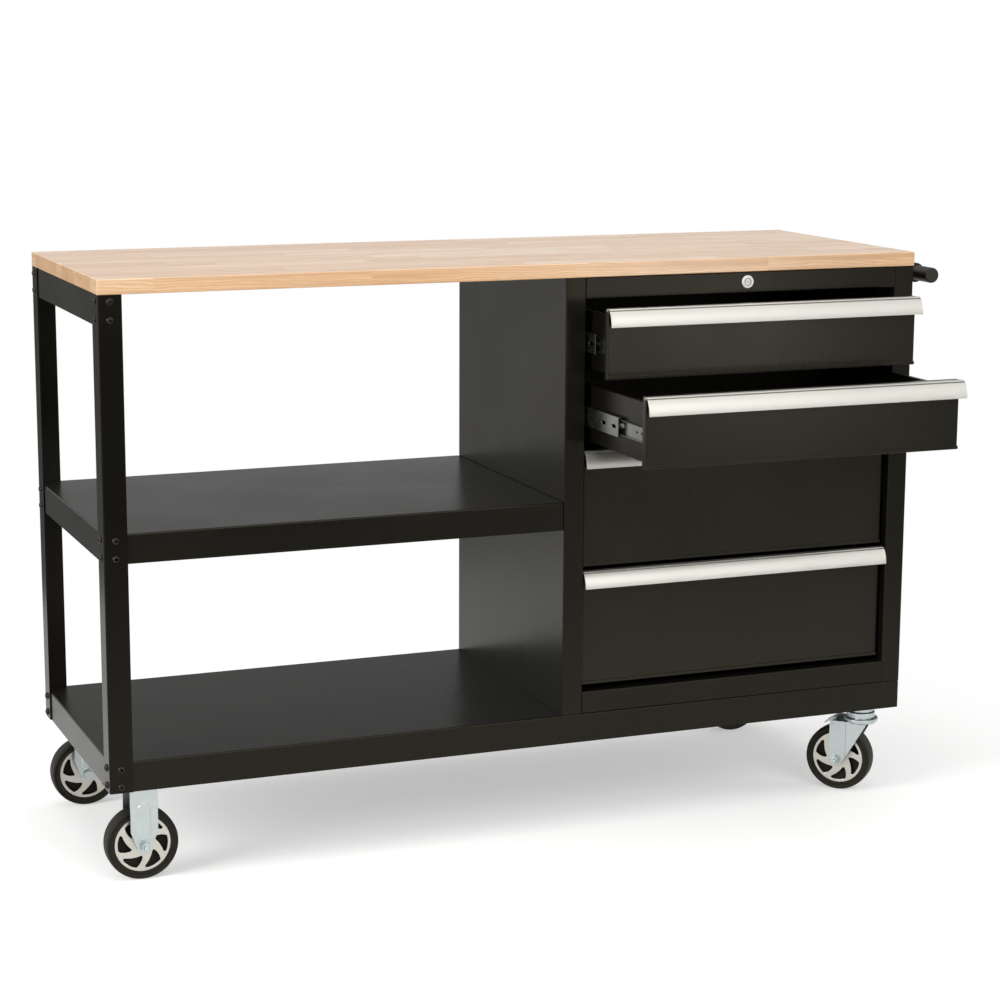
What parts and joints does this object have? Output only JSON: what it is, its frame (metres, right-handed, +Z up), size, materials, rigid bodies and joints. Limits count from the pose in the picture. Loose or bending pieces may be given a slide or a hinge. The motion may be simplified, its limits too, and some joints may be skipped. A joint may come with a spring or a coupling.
{
  "type": "workbench with drawers",
  "caption": "Mobile workbench: wooden worktop on a folded steel frame with open shelves, a lockable cabinet of sliding drawers, a push bar, and fixed and swivel casters.",
  "frame": {"origin": "on the floor under the middle of the whole outline, with the drawers as pictured", "axes": "+X along the bench towards the cabinet and push bar, +Y from the drawer fronts to the back, +Z up"},
  "size_m": [1.582, 0.7786, 1.016],
  "materials": {
    "worktop_wood": "clear satin lacquer",
    "frame_paint": "black satin powder coat",
    "drawer_paint": "black satin powder coat",
    "black_bolt": "black oxide",
    "handle_aluminium": "satin anodised",
    "slide_steel": "zinc plated",
    "lock_chrome": "polished",
    "push_bar_black": "black satin powder coat",
    "cap_plastic": "moulded",
    "zinc_steel": "bright zinc plate",
    "tyre_rubber": "smooth moulded",
    "hub_silver": "silver paint"
  },
  "bodies": {
    "bench": {"worktop": "worktop_wood", "worktop_screws": "zinc_steel", "leg_front_left": "frame_paint", "leg_back_left": "frame_paint", "top_end_rail": "frame_paint", "middle_shelf": "frame_paint", "base_shelf": "frame_paint", "caster_channels": "frame_paint", "caster_bolts": "zinc_steel", "frame_bolts": "black_bolt", "cabinet_left_side": "frame_paint", "cabinet_right_side": "frame_paint", "cabinet_back": "frame_paint", "cabinet_header": "frame_paint", "cabinet_sill": "frame_paint", "slide_posts": "frame_paint", "slide_outers": "slide_steel", "lock_body": "lock_chrome", "push_bar": "push_bar_black", "push_bar_caps": "cap_plastic", "push_bar_brackets": "push_bar_black", "fixed_caster_forks": "zinc_steel", "fixed_caster_axles": "zinc_steel", "swivel_caster_plates": "zinc_steel"},
    "drawer_1": {"drawer_1_tray": "drawer_paint", "drawer_1_front": "drawer_paint", "drawer_1_handle": "handle_aluminium", "drawer_1_slide_inner": "slide_steel"},
    "drawer_1_middle": {"drawer_1_slide_middle": "slide_steel"},
    "drawer_2": {"drawer_2_tray": "drawer_paint", "drawer_2_front": "drawer_paint", "drawer_2_handle": "handle_aluminium", "drawer_2_slide_inner": "slide_steel"},
    "drawer_2_middle": {"drawer_2_slide_middle": "slide_steel"},
    "drawer_3": {"drawer_3_tray": "drawer_paint", "drawer_3_front": "drawer_paint", "drawer_3_handle": "handle_aluminium", "drawer_3_slide_inner": "slide_steel"},
    "drawer_3_middle": {"drawer_3_slide_middle": "slide_steel"},
    "drawer_4": {"drawer_4_tray": "drawer_paint", "drawer_4_front": "drawer_paint", "drawer_4_handle": "handle_aluminium", "drawer_4_slide_inner": "slide_steel"},
    "drawer_4_middle": {"drawer_4_slide_middle": "slide_steel"},
    "lock": {"lock_plug": "lock_chrome"},
    "lock_bar": {"lock_bar": "slide_steel"},
    "wheel_front_left": {"tyre_front_left": "tyre_rubber", "hub_front_left": "hub_silver"},
    "wheel_back_left": {"tyre_back_left": "tyre_rubber", "hub_back_left": "hub_silver"},
    "swivel_front_right": {"swivel_fork_front_right": "zinc_steel", "swivel_axle_front_right": "zinc_steel"},
    "wheel_front_right": {"tyre_front_right": "tyre_rubber", "hub_front_right": "hub_silver"},
    "brake_front_right": {"brake_pedal_front_right": "zinc_steel"},
    "swivel_back_right": {"swivel_fork_back_right": "zinc_steel", "swivel_axle_back_right": "zinc_steel"},
    "wheel_back_right": {"tyre_back_right": "tyre_rubber", "hub_back_right": "hub_silver"},
    "brake_back_right": {"brake_pedal_back_right": "zinc_steel"}
  },
  "joints": [
    {"name": "drawer_1_slide", "type": "slide", "parent": "bench", "child": "drawer_1", "axis": [0, -1, 0], "range_m": [-0.096, 0.304]},
    {"name": "drawer_1_middle_slide", "type": "slide", "parent": "bench", "child": "drawer_1_middle", "axis": [0, -1, 0], "range_m": [-0.06144, 0.19456]},
    {"name": "drawer_2_slide", "type": "slide", "parent": "bench", "child": "drawer_2", "axis": [0, -1, 0], "range_m": [-0.25, 0.15]},
    {"name": "drawer_2_middle_slide", "type": "slide", "parent": "bench", "child": "drawer_2_middle", "axis": [0, -1, 0], "range_m": [-0.16, 0.096]},
    {"name": "drawer_3_slide", "type": "slide", "parent": "bench", "child": "drawer_3", "axis": [0, -1, 0], "range_m": [0, 0.4]},
    {"name": "drawer_3_middle_slide", "type": "slide", "parent": "bench", "child": "drawer_3_middle", "axis": [0, -1, 0], "range_m": [0, 0.256]},
    {"name": "drawer_4_slide", "type": "slide", "parent": "bench", "child": "drawer_4", "axis": [0, -1, 0], "range_m": [0, 0.4]},
    {"name": "drawer_4_middle_slide", "type": "slide", "parent": "bench", "child": "drawer_4_middle", "axis": [0, -1, 0], "range_m": [0, 0.256]},
    {"name": "lock_turn", "type": "hinge", "parent": "bench", "child": "lock", "pos_m": [0.375, -0.13225, 0.973], "axis": [0, -1, 0], "range_deg": [0, 90]},
    {"name": "lock_bar_lift", "type": "slide", "parent": "bench", "child": "lock_bar", "axis": [0, 0, 1], "range_m": [0, 0.008]},
    {"name": "wheel_front_left_roll", "type": "hinge", "parent": "bench", "child": "wheel_front_left", "pos_m": [-0.727, -0.09175, 0.062], "axis": [0, 1, 0], "continuous": true},
    {"name": "wheel_back_left_roll", "type": "hinge", "parent": "bench", "child": "wheel_back_left", "pos_m": [-0.727, 0.34225, 0.062], "axis": [0, 1, 0], "continuous": true},
    {"name": "swivel_front_right_turn", "type": "hinge", "parent": "bench", "child": "swivel_front_right", "pos_m": [0.65, -0.10375, 0.151], "axis": [0, 0, 1], "continuous": true},
    {"name": "wheel_front_right_roll", "type": "hinge", "parent": "swivel_front_right", "child": "wheel_front_right", "pos_m": [0.62408, -0.07596, 0.062], "axis": [0.7314, 0.682, 0], "continuous": true},
    {"name": "brake_front_right_pedal", "type": "hinge", "parent": "swivel_front_right", "child": "brake_front_right", "pos_m": [0.61931, -0.07084, 0.129], "axis": [0.7314, 0.682, 0], "range_deg": [0, 14]},
    {"name": "swivel_back_right_turn", "type": "hinge", "parent": "bench", "child": "swivel_back_right", "pos_m": [0.65, 0.35425, 0.151], "axis": [0, 0, 1], "continuous": true},
    {"name": "wheel_back_right_roll", "type": "hinge", "parent": "swivel_back_right", "child": "wheel_back_right", "pos_m": [0.612, 0.35425, 0.062], "axis": [0, 1, 0], "continuous": true},
    {"name": "brake_back_right_pedal", "type": "hinge", "parent": "swivel_back_right", "child": "brake_back_right", "pos_m": [0.605, 0.35425, 0.129], "axis": [0, 1, 0], "range_deg": [0, 14]}
  ],
  "couplings": [
    {"joint": "drawer_1_middle_slide", "follows": "drawer_1_slide", "ratio": 0.64},
    {"joint": "drawer_2_middle_slide", "follows": "drawer_2_slide", "ratio": 0.64},
    {"joint": "drawer_3_middle_slide", "follows": "drawer_3_slide", "ratio": 0.64},
    {"joint": "drawer_4_middle_slide", "follows": "drawer_4_slide", "ratio": 0.64},
    {"joint": "lock_turn", "follows": "lock_bar_lift", "rad_per_m": 196.35}
  ]
}
